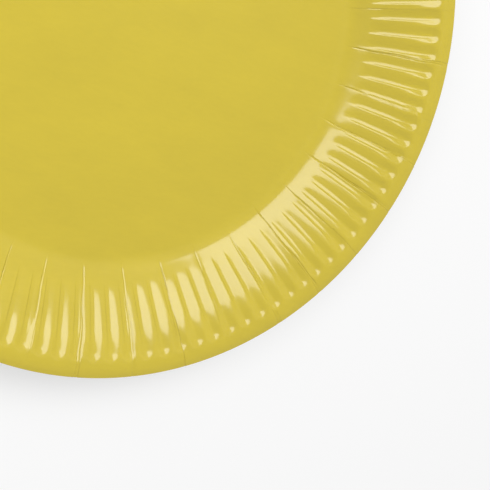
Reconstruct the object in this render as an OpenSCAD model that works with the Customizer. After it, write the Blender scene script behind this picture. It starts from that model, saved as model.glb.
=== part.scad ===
// A stack of nested paper plates. Each plate is one pressed sheet of board: a flat
// well, a foot that bends up steeply and eases into a fluted wall, and a plain lip
// whose edge turns down. The stack stands on z = 0, with its axis on the Z axis.

/* [Stack] */
// Number of plates in the stack
plate_count = 6; // [2:1:12]
// Upright gap that nested plates keep where they come closest
nest_gap = 0.35; // [0.2:0.05:1]

/* [Plate] */
// Outside diameter over the lip
plate_d = 230; // [226:1:236]
// Height of one plate, from the underside of the well to the top of the lip
plate_h = 13; // [12.8:0.1:14]
// Thickness of the board
board_t = 0.4; // [0.3:0.05:0.45]
// Width of the rim, from the flat well to the edge
rim_w = 33.5; // [30:0.5:36]

/* [Profile] */
// Radius of the bend between well and foot, inside the plate
foot_r = 5; // [3:0.2:6]
// How much steeper the foot is than a straight line across the rim
foot_extra_a = 17; // [14:1:20]
// Length of the straight part of the foot
foot_l = 1.1; // [0.8:0.1:1.6]
// Radius of the bend between foot and wall, under the plate
crown_r = 4; // [3:0.5:6]
// Radius of the bend between wall and lip, under the plate
brow_r = 6; // [3:0.5:8]
// Slope of the lip
lip_a = 4; // [2:1:8]
// Width of the plain lip
lip_w = 5.2; // [4.5:0.1:6.5]
// Radius of the edge that turns down
edge_r = 2.4; // [1.5:0.1:3]
// Angle below the horizontal at which the edge ends
edge_a = 18; // [8:1:30]

/* [Flutes] */
// Least spacing of the flutes, at their inner ends
flute_pitch = 5; // [4.8:0.1:6]
// Width of a flute across its mouth
flute_w = 3.2; // [2.6:0.1:3.6]
// Width of a flute's floor
flute_floor_w = 1.2; // [0.8:0.1:1.6]
// Depth of a flute below the face of the wall
flute_depth = 0.7; // [0.5:0.05:0.8]
// Slope at which a flute's floor rises to the wall at its ends
flute_ramp_a = 17; // [14:1:30]
// Distance from the bend of the foot to the inner end of a flute
flute_start_gap = 1.5; // [1:0.1:3]
// Distance from the outer end of a flute to the bend of the lip
flute_end_gap = 0.8; // [0.6:0.1:2]

/* [Hidden] */
// straight steps in each bend of the profile
bend_steps = 4;
board_color = [0.84, 0.77, 0.29];
// how far the tool that presses a flute stands clear of the face
tool_clear = 0.5;

function along(a) = [cos(a), sin(a)];
function up_from(a) = [-sin(a), cos(a)];
function bend(centre, r, from_a, to_a) =
    [for (i = [0 : bend_steps]) centre + r*along(from_a + (to_a - from_a)*i/bend_steps)];

// The profile is worked out on the underside of the board, as [radius, height]: the foot
// from the well outward, the lip and its edge from the rim inward. The wall is the
// straight line that touches the bend at its foot and the bend at its brow.
under_foot_r = foot_r + board_t;
foot_a = atan2(plate_h, rim_w) + foot_extra_a;
foot_c = [plate_d/2 - rim_w, under_foot_r];
crown_c = foot_c - (under_foot_r + crown_r)*up_from(foot_a) + foot_l*along(foot_a);

lip_l = (lip_w - edge_r*sin(lip_a) - (edge_r + board_t)*sin(edge_a))/cos(lip_a);
edge_c = [plate_d/2 - (edge_r + board_t)*sin(edge_a), plate_h - board_t - edge_r];
brow_c = edge_c - (brow_r - edge_r)*up_from(lip_a) - lip_l*along(lip_a);

crown_to_brow = brow_c - crown_c;
wall_a = atan2(crown_to_brow[1], crown_to_brow[0]) + asin((brow_r - crown_r)/norm(crown_to_brow));
wall_l = crown_to_brow*along(wall_a);
wall_start = crown_c + crown_r*up_from(wall_a);

// One face of the board, raised by t from the underside.
function face(t) = concat(
    [[0, t]],
    bend(foot_c, under_foot_r - t, -90, foot_a - 90),
    bend(crown_c, crown_r + t, foot_a + 90, wall_a + 90),
    bend(brow_c, brow_r + t, wall_a + 90, lip_a + 90),
    bend(edge_c, edge_r + t, lip_a + 90, 90 - edge_a)
);
function reversed(list) = [for (i = [len(list) - 1 : -1 : 0]) list[i]];

// A flute keeps the board's thickness, so its outside is a little larger than its inside.
flank_a = atan2(2*flute_depth, flute_w - flute_floor_w);
flute_l = wall_l - flute_start_gap - flute_end_gap;
floor_l = flute_l - 2*flute_depth/tan(flute_ramp_a);
outer_floor_w = flute_floor_w + 2*board_t*tan(flank_a/2);
outer_floor_l = floor_l + 2*board_t*tan(flute_ramp_a/2);
flute_in_r = wall_start[0] + flute_start_gap*cos(wall_a);
flute_count = floor(2*PI*flute_in_r/flute_pitch);
// steps around the plate: the flutes stand on them evenly
$fn = 2*flute_count;

// Plates slide into each other until their steepest parts come close: the foot, or the
// flanks or the outer ends of the flutes.
steepest_cos = min(cos(foot_a), cos(wall_a)*cos(flank_a), cos(wall_a + flute_ramp_a));
nest_pitch = board_t/steepest_cos + nest_gap;

function corners(half, z) = [for (c = [[-1, -1], [1, -1], [1, 1], [-1, 1]]) [c[0]*half[0], c[1]*half[1], z]];
block_faces = [[0, 1, 2, 3], [7, 6, 5, 4], [0, 4, 5, 1], [1, 5, 6, 2], [2, 6, 7, 3], [3, 7, 4, 0]];

module sheet() rotate_extrude() polygon(concat(face(0), reversed(face(board_t))));

// A block at each flute, in line with the wall. It widens upward from its floor on all
// sides: the ends slant as well as the flanks, so that plates nest.
module troughs(floor_l, floor_w, floor_z, top_z)
    let (h = top_z - floor_z, low = [floor_l, floor_w]/2, high = low + h*[1/tan(flute_ramp_a), 1/tan(flank_a)])
    for (i = [0 : flute_count - 1])
        rotate(360*i/flute_count)
        translate([wall_start[0], 0, wall_start[1]]) rotate([0, -wall_a, 0])
        translate([flute_start_gap + flute_l/2, 0, floor_z])
        polyhedron(concat(corners(low, 0), corners(high, h)), block_faces);

module plate(k) color(board_color) translate([0, 0, (k - 1)*nest_pitch]) difference() {
    union() {
        sheet();
        troughs(outer_floor_l, outer_floor_w, -flute_depth, board_t/2);
    }
    troughs(floor_l, flute_floor_w, board_t - flute_depth, board_t + tool_clear);
}

for (k = [1 : plate_count]) plate(k);
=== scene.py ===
import math
import bpy
import numpy as np
from mathutils import Matrix, Vector


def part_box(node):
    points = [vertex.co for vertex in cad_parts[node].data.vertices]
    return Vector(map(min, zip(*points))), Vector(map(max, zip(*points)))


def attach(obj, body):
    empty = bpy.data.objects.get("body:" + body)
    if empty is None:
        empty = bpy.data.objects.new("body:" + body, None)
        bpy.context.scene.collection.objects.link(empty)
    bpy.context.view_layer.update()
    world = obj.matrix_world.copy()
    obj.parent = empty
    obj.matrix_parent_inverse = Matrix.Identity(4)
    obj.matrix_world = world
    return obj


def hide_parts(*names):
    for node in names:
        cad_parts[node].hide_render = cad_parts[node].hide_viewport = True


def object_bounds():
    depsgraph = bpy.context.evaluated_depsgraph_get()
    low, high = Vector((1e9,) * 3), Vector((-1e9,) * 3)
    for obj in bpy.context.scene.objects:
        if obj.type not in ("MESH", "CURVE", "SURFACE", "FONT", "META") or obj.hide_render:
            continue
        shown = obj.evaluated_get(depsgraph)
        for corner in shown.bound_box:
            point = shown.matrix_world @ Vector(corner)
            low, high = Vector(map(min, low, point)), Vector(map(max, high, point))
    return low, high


# The stack of paper plates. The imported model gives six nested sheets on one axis; each
# is dressed here with the rounded flutes, the pleats and the coated face of real board.
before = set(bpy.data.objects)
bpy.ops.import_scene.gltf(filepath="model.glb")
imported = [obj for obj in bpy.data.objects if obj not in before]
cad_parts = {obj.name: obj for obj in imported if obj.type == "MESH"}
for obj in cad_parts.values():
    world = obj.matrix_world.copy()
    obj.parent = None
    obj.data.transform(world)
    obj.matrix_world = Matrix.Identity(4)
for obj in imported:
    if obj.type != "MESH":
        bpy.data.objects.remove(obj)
cad_low, cad_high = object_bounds()
MM = 0.001
PLATES = sorted(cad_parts)

# One pressed sheet, seen in section from the middle to the edge. The flat well bends up
# into a wall that eases over, higher up, into a lip whose edge rolls down. The slopes,
# in degrees, are those of the underside; the board is equally thick all over.
BOARD_THICKNESS = 0.4 * MM
EDGE_RADIUS = cad_high.x
FOOT_RADII = [78, 80.5, 82.5, 84.3, 86]
FOOT_SLOPES = [0, 11.5, 20.5, 25, 26]
WALL_RADII = [88, 90, 94, 98, 103, 106, 108]
WALL_SLOPES = [26.2, 25.6, 24.8, 24.4, 22.6, 18.8, 13.8]
LIP_RADII = [110, 112, 113.4, 115]
LIP_SLOPES = [8, 0.5, -7, -20]
section_radii = np.array(FOOT_RADII + WALL_RADII + LIP_RADII) * MM
section_slopes = np.radians(FOOT_SLOPES + WALL_SLOPES + LIP_SLOPES)
FINE_STEP = 0.02 * MM
FINE_END = 116 * MM
fine_radius = np.arange(0, FINE_END, FINE_STEP)
fine_slope = np.interp(fine_radius, section_radii, section_slopes)
fine_height = np.cumsum(np.tan(fine_slope)) * FINE_STEP

# The flutes: 110 shallow grooves that a ribbed die presses into the wall. Each drops
# short and steep on one side, climbs slowly back on the other, and ends in a dimple.
# Across a flute, places are shares of its pitch and depths shares of its depth there.
FLUTE_COUNT = 110
FLUTE_TURN = 2 * math.pi / FLUTE_COUNT
FLUTE_RADII = np.array([86.3, 87.6, 88.8, 90.2, 93, 99, 104, 107, 108.4, 109.8]) * MM
FLUTE_DEPTHS = np.array([0, 0.10, 0.22, 0.31, 0.38, 0.43, 0.52, 0.56, 0.34, 0]) * MM
DEPTH_ROUNDING = 0.9 * MM
VALLEY_PLACES = [-0.28, -0.20, 0.01, 0.44, 0.72]
VALLEY_SHARES = [0, 0.72, 1, 0.12, 0]
VALLEY_ROUNDING = 0.045
VALLEY_STEP = 0.005
VALLEY_REACH = 0.8
NARROW_RADII = np.array([100, 109]) * MM
NARROW_SHARES = [1, 0.70]
DIMPLE_PLACE = 107.0 * MM
DIMPLE_RADIUS = 3.3 * MM
DIMPLE_TAIL = 9 * MM
DIMPLE_DEPTH = 0.66 * MM
DIMPLE_JOIN = 4


def rounded(values, steps):
    """A curve with its corners rounded over a number of steps."""
    return np.convolve(values, np.ones(steps) / steps, mode="same")


fine_depth = np.interp(fine_radius, FLUTE_RADII, FLUTE_DEPTHS)
fine_depth = rounded(fine_depth, round(DEPTH_ROUNDING / FINE_STEP))
fine_share = np.arange(-VALLEY_REACH, VALLEY_REACH, VALLEY_STEP)
fine_valley = np.interp(fine_share, VALLEY_PLACES, VALLEY_SHARES)
fine_valley = rounded(fine_valley, round(VALLEY_ROUNDING / VALLEY_STEP))


def flute_depth(radius, angle):
    """How far the flutes push the sheet down at a place on it."""
    share = np.mod(angle / FLUTE_TURN + 0.5, 1) - 0.5
    narrow = np.interp(radius, NARROW_RADII, NARROW_SHARES)
    valley = 0
    for neighbour in (-1, 0, 1):
        valley = valley + np.interp((share - neighbour) / narrow, fine_share, fine_valley)
    reach = np.where(radius < DIMPLE_PLACE, DIMPLE_TAIL, DIMPLE_RADIUS)
    from_dimple = np.hypot(radius * share * FLUTE_TURN / DIMPLE_RADIUS, (radius - DIMPLE_PLACE) / reach)
    dimple = DIMPLE_DEPTH * np.clip(1 - from_dimple**2, 0, 1) ** 2
    groove = np.interp(radius, fine_radius, fine_depth) * valley
    return (groove**DIMPLE_JOIN + dimple**DIMPLE_JOIN) ** (1 / DIMPLE_JOIN)


# The pleats: 39 scored lines on which the sheet gathers as it is drawn into the die.
# Each is one pressed line on the wall and opens into a narrow pleat across the lip. The
# board between two pleats lies a little higher or lower than its neighbours.
PLEAT_COUNT = 39
PLEAT_TURN = 2 * math.pi / PLEAT_COUNT
FIRST_PLEAT = math.radians(-83.9)
PLEAT_SEED = 35824
PLEAT_STRAY_DEGREES = 0.3
PLEAT_SLANT_DEGREES = (-0.9, 0.4)
PLEAT_WAVE_DEGREES = (0.02, 0.10)
PLEAT_WAVE_LENGTH = 2.2 * MM
PLEAT_STRENGTH = (0.55, 1.25)
PLEAT_DEPTH = 0.15 * MM
PLEAT_INNER_RADIUS = 80.5 * MM
PLEAT_INNER_STRAY = (-1.5, 2.0)
PLEAT_FADE = 3 * MM
PLEAT_LINE = 0.12 * MM
PLEAT_EDGE_HALF_WIDTH = 0.55 * MM
PLEAT_OPENING = 1.6
SUNK_SHARE = 0.35
SUNK_SIDE = 0.05 * MM
SUNK_FULL_WIDTH = 0.3 * MM
FOLD_SHARE = 0.5
FOLD_STEP = 0.12 * MM
FOLD_REACH = 0.9 * MM
LEAN_DEPTH = 0.07 * MM
LEAN_STEP = 0.35 * MM
LEAN_RADII = np.array([80, 84, 88, 94, 102]) * MM
LEAN_SHARES = [0, 0.4, 1, 0.7, 0]


class Pleats:
    """The pleats of one plate: no two plates gather in just the same way."""

    def __init__(self, plate_number):
        draw = np.random.default_rng(PLEAT_SEED + plate_number)
        self.angle = FIRST_PLEAT + PLEAT_TURN * np.arange(PLEAT_COUNT)
        stray = draw.uniform(-PLEAT_STRAY_DEGREES, PLEAT_STRAY_DEGREES, PLEAT_COUNT)
        self.angle = self.angle + np.radians(stray)
        self.slant = np.radians(draw.uniform(*PLEAT_SLANT_DEGREES, PLEAT_COUNT))
        self.wave = np.radians(draw.uniform(*PLEAT_WAVE_DEGREES, PLEAT_COUNT))
        self.phase = draw.uniform(0, 2 * math.pi, PLEAT_COUNT)
        self.inner = PLEAT_INNER_RADIUS + draw.uniform(*PLEAT_INNER_STRAY, PLEAT_COUNT) * MM
        self.strength = draw.uniform(*PLEAT_STRENGTH, PLEAT_COUNT)
        self.fold = draw.uniform(-1.0, 1.0, PLEAT_COUNT)
        self.lean = draw.uniform(-1.0, 1.0, PLEAT_COUNT)

    def middle(self, k, radius):
        """The angle of pleat k at a radius."""
        along = (radius - PLEAT_INNER_RADIUS) / (EDGE_RADIUS - PLEAT_INNER_RADIUS)
        wave = self.wave[k] * np.sin(radius / PLEAT_WAVE_LENGTH + self.phase[k])
        return self.angle[k] + self.slant[k] * along + wave

    def half_width(self, radius):
        """Half the width of a pleat at a radius: it opens toward the edge."""
        along = np.clip((radius - PLEAT_INNER_RADIUS) / (EDGE_RADIUS - PLEAT_INNER_RADIUS), 0, 1)
        return PLEAT_EDGE_HALF_WIDTH * along**PLEAT_OPENING

    def depth(self, radius, angle, nearest):
        """How far the pleats push the sheet down at a place on it."""
        off = radius * (angle - self.middle(nearest, radius))
        half = self.half_width(radius)
        past_side = np.abs(off) - half
        fade = np.clip((radius - self.inner[nearest]) / PLEAT_FADE, 0, 1)
        line = np.exp(-((past_side / PLEAT_LINE) ** 2))
        sunk = SUNK_SHARE / (1 + np.exp(past_side / SUNK_SIDE)) * np.clip(half / SUNK_FULL_WIDTH, 0, 1)
        fold = FOLD_SHARE * self.fold[nearest] * np.tanh(off / FOLD_STEP)
        fold = fold * np.exp(-((off / FOLD_REACH) ** 2))
        before = self.lean[nearest - 1]
        after = self.lean[nearest]
        lean = 0.5 * (before + after) + 0.5 * (after - before) * np.tanh(off / LEAN_STEP)
        swell = LEAN_DEPTH * lean * np.interp(radius, LEAN_RADII, LEAN_SHARES)
        return PLEAT_DEPTH * self.strength[nearest] * fade * (line + sunk + fold) + swell


# The board: a coated sheet, printed yellow all over and pressed between hot dies. The
# coat is smooth and glossy over a faint fibre; the back and the cut edge are bare.
FACE_YELLOW = (0.590, 0.458, 0.018, 1)
BACK_YELLOW = (0.620, 0.540, 0.130, 1)
BOARD_IOR = 1.5
COAT_IOR = 1.7
COAT_ROUGHNESS = 0.10
FIBRE_HEIGHT = 0.02 * MM
FIBRE_DIRECTION = (0.35, 1.0, 1.0)
CLOUD_SCALE = 90
CLOUD_DETAIL = 5
FIBRE_SCALE = 900
FIBRE_DETAIL = 3
FIBRE_TO_CLOUD = 0.45
MIDDLE_VALUE = 0.725
ROUGHNESS_TO_MOTTLE = 0.5


def fibre_group():
    """Shader group: paper fibre as a colour, a roughness and a height."""
    group = bpy.data.node_groups.new("Paper fibre", "ShaderNodeTree")
    group.interface.new_socket("Colour", in_out="INPUT", socket_type="NodeSocketColor")
    group.interface.new_socket("Roughness", in_out="INPUT", socket_type="NodeSocketFloat")
    group.interface.new_socket("Mottle", in_out="INPUT", socket_type="NodeSocketFloat")
    group.interface.new_socket("Colour", in_out="OUTPUT", socket_type="NodeSocketColor")
    group.interface.new_socket("Roughness", in_out="OUTPUT", socket_type="NodeSocketFloat")
    group.interface.new_socket("Height", in_out="OUTPUT", socket_type="NodeSocketFloat")
    nodes, links = group.nodes, group.links
    inputs = nodes.new("NodeGroupInput")
    outputs = nodes.new("NodeGroupOutput")
    place = nodes.new("ShaderNodeTexCoord")
    stretch = nodes.new("ShaderNodeMapping")
    stretch.inputs["Scale"].default_value = FIBRE_DIRECTION
    links.new(place.outputs["Object"], stretch.inputs["Vector"])

    cloud = nodes.new("ShaderNodeTexNoise")
    cloud.inputs["Scale"].default_value = CLOUD_SCALE
    cloud.inputs["Detail"].default_value = CLOUD_DETAIL
    links.new(stretch.outputs["Vector"], cloud.inputs["Vector"])
    fibre = nodes.new("ShaderNodeTexNoise")
    fibre.inputs["Scale"].default_value = FIBRE_SCALE
    fibre.inputs["Detail"].default_value = FIBRE_DETAIL
    links.new(stretch.outputs["Vector"], fibre.inputs["Vector"])
    both = nodes.new("ShaderNodeMath")
    both.operation = "MULTIPLY_ADD"
    both.inputs[1].default_value = FIBRE_TO_CLOUD
    links.new(fibre.outputs["Fac"], both.inputs[0])
    links.new(cloud.outputs["Fac"], both.inputs[2])
    links.new(both.outputs[0], outputs.inputs["Height"])

    centred = nodes.new("ShaderNodeMath")
    centred.operation = "SUBTRACT"
    centred.inputs[1].default_value = MIDDLE_VALUE
    links.new(both.outputs[0], centred.inputs[0])
    share = nodes.new("ShaderNodeMath")
    share.operation = "MULTIPLY"
    links.new(centred.outputs[0], share.inputs[0])
    links.new(inputs.outputs["Mottle"], share.inputs[1])
    value = nodes.new("ShaderNodeMath")
    value.operation = "ADD"
    value.inputs[1].default_value = 1
    links.new(share.outputs[0], value.inputs[0])
    tint = nodes.new("ShaderNodeHueSaturation")
    links.new(value.outputs[0], tint.inputs["Value"])
    links.new(inputs.outputs["Colour"], tint.inputs["Color"])
    links.new(tint.outputs["Color"], outputs.inputs["Colour"])

    rough = nodes.new("ShaderNodeMath")
    rough.operation = "MULTIPLY_ADD"
    rough.inputs[1].default_value = ROUGHNESS_TO_MOTTLE
    links.new(share.outputs[0], rough.inputs[0])
    links.new(inputs.outputs["Roughness"], rough.inputs[2])
    links.new(rough.outputs[0], outputs.inputs["Roughness"])
    return group


paper_fibre = fibre_group()


def board_material(name, colour, roughness, mottle, relief, coat):
    """Paper board: the same fibre under a glossy coat, or bare."""
    material = bpy.data.materials.new(name)
    material.use_nodes = True
    nodes, links = material.node_tree.nodes, material.node_tree.links
    shader = nodes["Principled BSDF"]
    shader.inputs["IOR"].default_value = BOARD_IOR
    shader.inputs["Coat Weight"].default_value = coat
    shader.inputs["Coat Roughness"].default_value = COAT_ROUGHNESS
    shader.inputs["Coat IOR"].default_value = COAT_IOR
    fibre = nodes.new("ShaderNodeGroup")
    fibre.node_tree = paper_fibre
    fibre.inputs["Colour"].default_value = colour
    fibre.inputs["Roughness"].default_value = roughness
    fibre.inputs["Mottle"].default_value = mottle
    bump = nodes.new("ShaderNodeBump")
    bump.inputs["Strength"].default_value = relief
    bump.inputs["Distance"].default_value = FIBRE_HEIGHT
    links.new(fibre.outputs["Height"], bump.inputs["Height"])
    links.new(bump.outputs["Normal"], shader.inputs["Normal"])
    links.new(fibre.outputs["Colour"], shader.inputs["Base Color"])
    links.new(fibre.outputs["Roughness"], shader.inputs["Roughness"])
    return material


coated_board = board_material(
    "Coated yellow board", FACE_YELLOW, roughness=0.20, mottle=0.14, relief=0.6, coat=1.0
)
bare_board = board_material(
    "Bare yellow board", BACK_YELLOW, roughness=0.75, mottle=0.25, relief=1.0, coat=0.0
)

# The six plates, nested one in the next. Only the top plate shows its whole face and
# only the lowest its whole back, so those faces get the finest grid. Rows are radii in
# millimetres; columns are places across one flute, as shares of its pitch.
WELL_ROWS = [0, 40, 70, 76.5]
FOOT_ROWS = [78, 79.3, 80.5, 81.6, 82.8, 84, 85.3, 86.2, 86.9]
WALL_ROWS = [87.6, 88.4, 89.4, 90.6, 92.4, 94.6, 97, 99.5, 102, 104.2, 105.8, 106.9]
LIP_ROWS = [107.6, 108.1, 108.6, 109.1, 109.6, 110.1, 110.7, 111.5, 112.3, 113.1, 113.9]
HIDDEN_ROWS = [0, 76.5, 79.3, 81.6, 84, 86.2, 88.4, 92.4, 98, 104.2, 107.6, 109.1, 110.7, 112.3, 113.9]
LAST_ROW = EDGE_RADIUS - 0.13 * MM
fine_rows = np.append(np.array(WELL_ROWS + FOOT_ROWS + WALL_ROWS + LIP_ROWS) * MM, LAST_ROW)
plain_rows = np.append(np.array(HIDDEN_ROWS) * MM, LAST_ROW)
STEEP_COLUMNS = [-0.37, -0.31, -0.275, -0.24, -0.205, -0.17]
GENTLE_COLUMNS = [-0.10, -0.03, 0.03, 0.09, 0.17, 0.27, 0.38, 0.5]
fine_columns = np.array(STEEP_COLUMNS + GENTLE_COLUMNS)
plain_columns = np.array([-0.38, -0.29, -0.20, -0.08, 0.02, 0.16, 0.32, 0.5])
PLEAT_COLUMNS = 9
PLEAT_CLEARANCE = 0.62 * MM
CLEARANCE_RADIUS = 100 * MM
PLEAT_PULL = math.radians(2.6)
PLEAT_MARGIN = 0.03 * MM
LINE_SIDE = 0.16 * MM
LINE_END = 0.42 * MM
LINE_LEAST_SHARE = 0.4
SHARP_ANGLE = math.radians(50)


def plate_mesh(number, flute_columns, face_rows, back_rows):
    """The closed mesh of one plate: face, cut edge and back on one grid of columns."""
    pleats = Pleats(number)
    rise = (number - 1) * (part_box(PLATES[1])[0].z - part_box(PLATES[0])[0].z)
    even = (np.arange(FLUTE_COUNT)[:, None] + flute_columns).ravel() * FLUTE_TURN
    nearest = np.round((even - FIRST_PLEAT) / PLEAT_TURN).astype(int)
    from_pleat = even - nearest * PLEAT_TURN - pleats.angle[nearest % PLEAT_COUNT]
    clear = np.abs(from_pleat) * CLEARANCE_RADIUS > PLEAT_CLEARANCE
    even = even[clear]
    nearest = nearest[clear] % PLEAT_COUNT
    from_pleat = from_pleat[clear]
    pull = np.clip(1 - (from_pleat / PLEAT_PULL) ** 2, 0, 1) ** 2
    every = np.arange(PLEAT_COUNT)

    def grid(rows):
        """Angles of all columns along rows: even ones, and nine that follow each pleat."""
        radius = np.maximum(rows[:, None], PLEAT_INNER_RADIUS)
        half = pleats.half_width(radius) + PLEAT_MARGIN
        drift = pleats.middle(nearest, radius) - pleats.angle[nearest]
        middle = pleats.middle(every, radius)
        columns = [even + pull * (drift + np.sign(from_pleat) * half / radius), middle]
        inside = np.maximum(half - LINE_SIDE, LINE_LEAST_SHARE * half)
        for side in (-1, 1):
            for place in (inside, half, half + LINE_SIDE, half + LINE_END):
                columns.append(middle + side * place / radius)
        return np.concatenate(columns, axis=1)

    owner = np.concatenate([nearest] + [every] * PLEAT_COLUMNS)
    sort = np.argsort(np.mod(grid(np.array([PLEAT_INNER_RADIUS]))[0], 2 * math.pi))
    owner = owner[sort]

    def surface(rows, lift):
        """Points of the sheet along rows, raised from its underside by lift."""
        angle = grid(rows)[:, sort]
        radius = rows[:, None]
        slope = np.interp(rows, fine_radius, fine_slope)[:, None]
        height = np.interp(rows, fine_radius, fine_height)[:, None]
        past = angle - pleats.angle[owner]
        near_angle = pleats.angle[owner] + (past + math.pi) % (2 * math.pi) - math.pi
        push = flute_depth(radius, angle) + pleats.depth(radius, near_angle, owner[None, :])
        offset = lift - push
        r = radius - np.sin(slope) * offset
        z = height + np.cos(slope) * offset + rise
        return np.stack([r * np.cos(angle), r * np.sin(angle), z], axis=-1)

    face = surface(face_rows[1:], BOARD_THICKNESS)
    back = surface(back_rows[1:][::-1], 0.0)
    rings = np.concatenate([face, back])
    count = rings.shape[1]
    middles = [[0, 0, rise + BOARD_THICKNESS], [0, 0, rise]]
    points = np.concatenate([rings.reshape(-1, 3), middles])
    ring = np.arange(count)
    after = (ring + 1) % count
    start = np.arange(len(rings) - 1)[:, None] * count
    quads = np.stack([start + ring, start + count + ring, start + count + after, start + after], axis=-1)
    top, bottom = len(points) - 2, len(points) - 1
    last = (len(rings) - 1) * count
    faces = [[top, a, b] for a, b in zip(ring.tolist(), after.tolist())]
    faces += quads.reshape(-1, 4).tolist()
    faces += [[bottom, last + b, last + a] for a, b in zip(ring.tolist(), after.tolist())]

    mesh = bpy.data.meshes.new(f"pressed_plate_{number}")
    mesh.from_pydata(points.tolist(), [], faces)
    mesh.materials.append(coated_board)
    mesh.materials.append(bare_board)
    coated_faces = count + (len(face) - 1) * count
    material_index = np.zeros(len(faces), int)
    material_index[coated_faces:] = 1
    mesh.polygons.foreach_set("material_index", material_index)
    mesh.polygons.foreach_set("use_smooth", np.ones(len(faces), bool))
    mesh.set_sharp_from_angle(angle=SHARP_ANGLE)
    mesh.update()
    return mesh


for number, node in enumerate(PLATES, start=1):
    shows_face = number == len(PLATES)
    shows_back = number == 1
    plate = bpy.data.objects.new(
        f"pressed_plate_{number}",
        plate_mesh(
            number,
            fine_columns if shows_face or shows_back else plain_columns,
            fine_rows if shows_face else plain_rows,
            fine_rows if shows_back else plain_rows,
        ),
    )
    bpy.context.scene.collection.objects.link(plate)
    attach(plate, "root")
    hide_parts(node)

# The floor is a plain white sweep under the stack. It shows the camera one even pale
# tone, as the photograph's ground does, and keeps a soft shadow.
FLOOR_SIZE = 6.0
FLOOR_GREY = (0.35, 0.35, 0.35, 1)
FLOOR_ROUGHNESS = 0.9
FLOOR_SPECULAR = 0.1
FLOOR_GLOW = 0.585
WHITE = (1, 1, 1, 1)
bpy.ops.mesh.primitive_plane_add(size=FLOOR_SIZE, location=(0, 0, 0))
floor = bpy.context.object
floor.name = "floor"
floor_material = bpy.data.materials.new("White sweep")
floor_material.use_nodes = True
floor_nodes = floor_material.node_tree.nodes
floor_links = floor_material.node_tree.links
floor_shader = floor_nodes["Principled BSDF"]
floor_shader.inputs["Base Color"].default_value = FLOOR_GREY
floor_shader.inputs["Roughness"].default_value = FLOOR_ROUGHNESS
floor_shader.inputs["Specular IOR Level"].default_value = FLOOR_SPECULAR
floor_shader.inputs["Emission Color"].default_value = WHITE
light_path = floor_nodes.new("ShaderNodeLightPath")
glow = floor_nodes.new("ShaderNodeMath")
glow.operation = "MULTIPLY"
glow.inputs[1].default_value = FLOOR_GLOW
floor_links.new(light_path.outputs["Is Camera Ray"], glow.inputs[0])
floor_links.new(glow.outputs[0], floor_shader.inputs["Emission Strength"])
floor.data.materials.append(floor_material)

# The softbox hangs level above and behind the stack. Its reflection fills the wall of
# the plate as a broad band. Its near corner is given, in metres, with the turn of its
# long edge.
SOFTBOX_HEIGHT = 0.5
SOFTBOX_CORNER = Vector((0.146, 0.186))
SOFTBOX_TURN = math.radians(34.6)
SOFTBOX_LENGTH = 0.85
SOFTBOX_WIDTH = 0.45
SOFTBOX_GLOW = 2.15
along_edge = Vector((math.cos(SOFTBOX_TURN), math.sin(SOFTBOX_TURN)))
off_edge = Vector((-along_edge.y, along_edge.x))
softbox_middle = SOFTBOX_CORNER - along_edge * SOFTBOX_LENGTH / 2 + off_edge * SOFTBOX_WIDTH / 2
softbox_data = bpy.data.lights.new("softbox", "AREA")
softbox_data.shape = "RECTANGLE"
softbox_data.size = SOFTBOX_LENGTH
softbox_data.size_y = SOFTBOX_WIDTH
softbox_data.energy = SOFTBOX_GLOW * math.pi * SOFTBOX_LENGTH * SOFTBOX_WIDTH
softbox = bpy.data.objects.new("softbox", softbox_data)
softbox.location = (softbox_middle.x, softbox_middle.y, SOFTBOX_HEIGHT)
softbox.rotation_euler = (0, 0, SOFTBOX_TURN)
bpy.context.scene.collection.objects.link(softbox)

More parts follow.
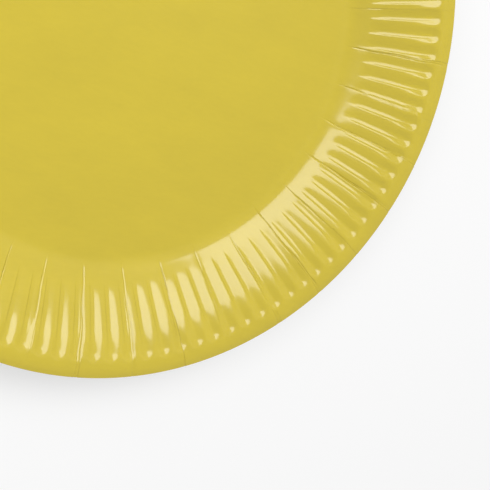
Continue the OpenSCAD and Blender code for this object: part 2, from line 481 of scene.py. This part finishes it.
# The key is a broad soft lamp at the upper right. It shades the board and isn't seen in
# its gloss.
KEY_SIZE = 1.0
KEY_DISTANCE = 1.5
KEY_AZIMUTH = math.radians(45)
KEY_ELEVATION = math.radians(52)
KEY_ENERGY = 11.7
key_data = bpy.data.lights.new("key", "AREA")
key_data.size = KEY_SIZE
key_data.energy = KEY_ENERGY
key = bpy.data.objects.new("key", key_data)
to_key = Vector((math.cos(KEY_AZIMUTH), math.sin(KEY_AZIMUTH), math.tan(KEY_ELEVATION))).normalized()
key.location = to_key * KEY_DISTANCE
key.rotation_euler = to_key.to_track_quat("Z", "Y").to_euler()
key.visible_glossy = False
bpy.context.scene.collection.objects.link(key)

# The studio round the stack is pale: a dim even light on the board, and nearly white
# where the camera looks past it.
STUDIO_LIGHT = 0.42
STUDIO_SEEN = 0.94
world = bpy.data.worlds.new("Pale studio")
world.use_nodes = True
world_nodes = world.node_tree.nodes
world_links = world.node_tree.links
world_nodes["Background"].inputs["Color"].default_value = WHITE
world_path = world_nodes.new("ShaderNodeLightPath")
world_mix = world_nodes.new("ShaderNodeMix")
world_mix.inputs["A"].default_value = STUDIO_LIGHT
world_mix.inputs["B"].default_value = STUDIO_SEEN
world_links.new(world_path.outputs["Is Camera Ray"], world_mix.inputs["Factor"])
world_links.new(world_mix.outputs["Result"], world_nodes["Background"].inputs["Strength"])
bpy.context.scene.world = world

# The camera stands where the photograph's did: above the left of the stack, close, and
# turned a little on its own axis.
CAMERA_PLACE = Vector((-184.34, -23.96, 398.55)) * MM
CAMERA_RIGHT = Vector((0.82081, 0.29443, 0.48947))
CAMERA_UP = Vector((-0.20811, 0.95216, -0.22377))
CAMERA_BACK = Vector((-0.53194, 0.08181, 0.84282))
CAMERA_LENS = 101.7
CAMERA_SENSOR = 36
CAMERA_NEAREST = 0.01
camera_data = bpy.data.cameras.new("camera")
camera_data.lens = CAMERA_LENS
camera_data.sensor_width = CAMERA_SENSOR
camera_data.clip_start = CAMERA_NEAREST
camera = bpy.data.objects.new("camera", camera_data)
turned = Matrix((CAMERA_RIGHT, CAMERA_UP, CAMERA_BACK)).transposed().to_4x4()
camera.matrix_world = Matrix.Translation(CAMERA_PLACE) @ turned
bpy.context.scene.collection.objects.link(camera)
bpy.context.scene.camera = camera
bpy.context.scene.view_settings.view_transform = "Standard"
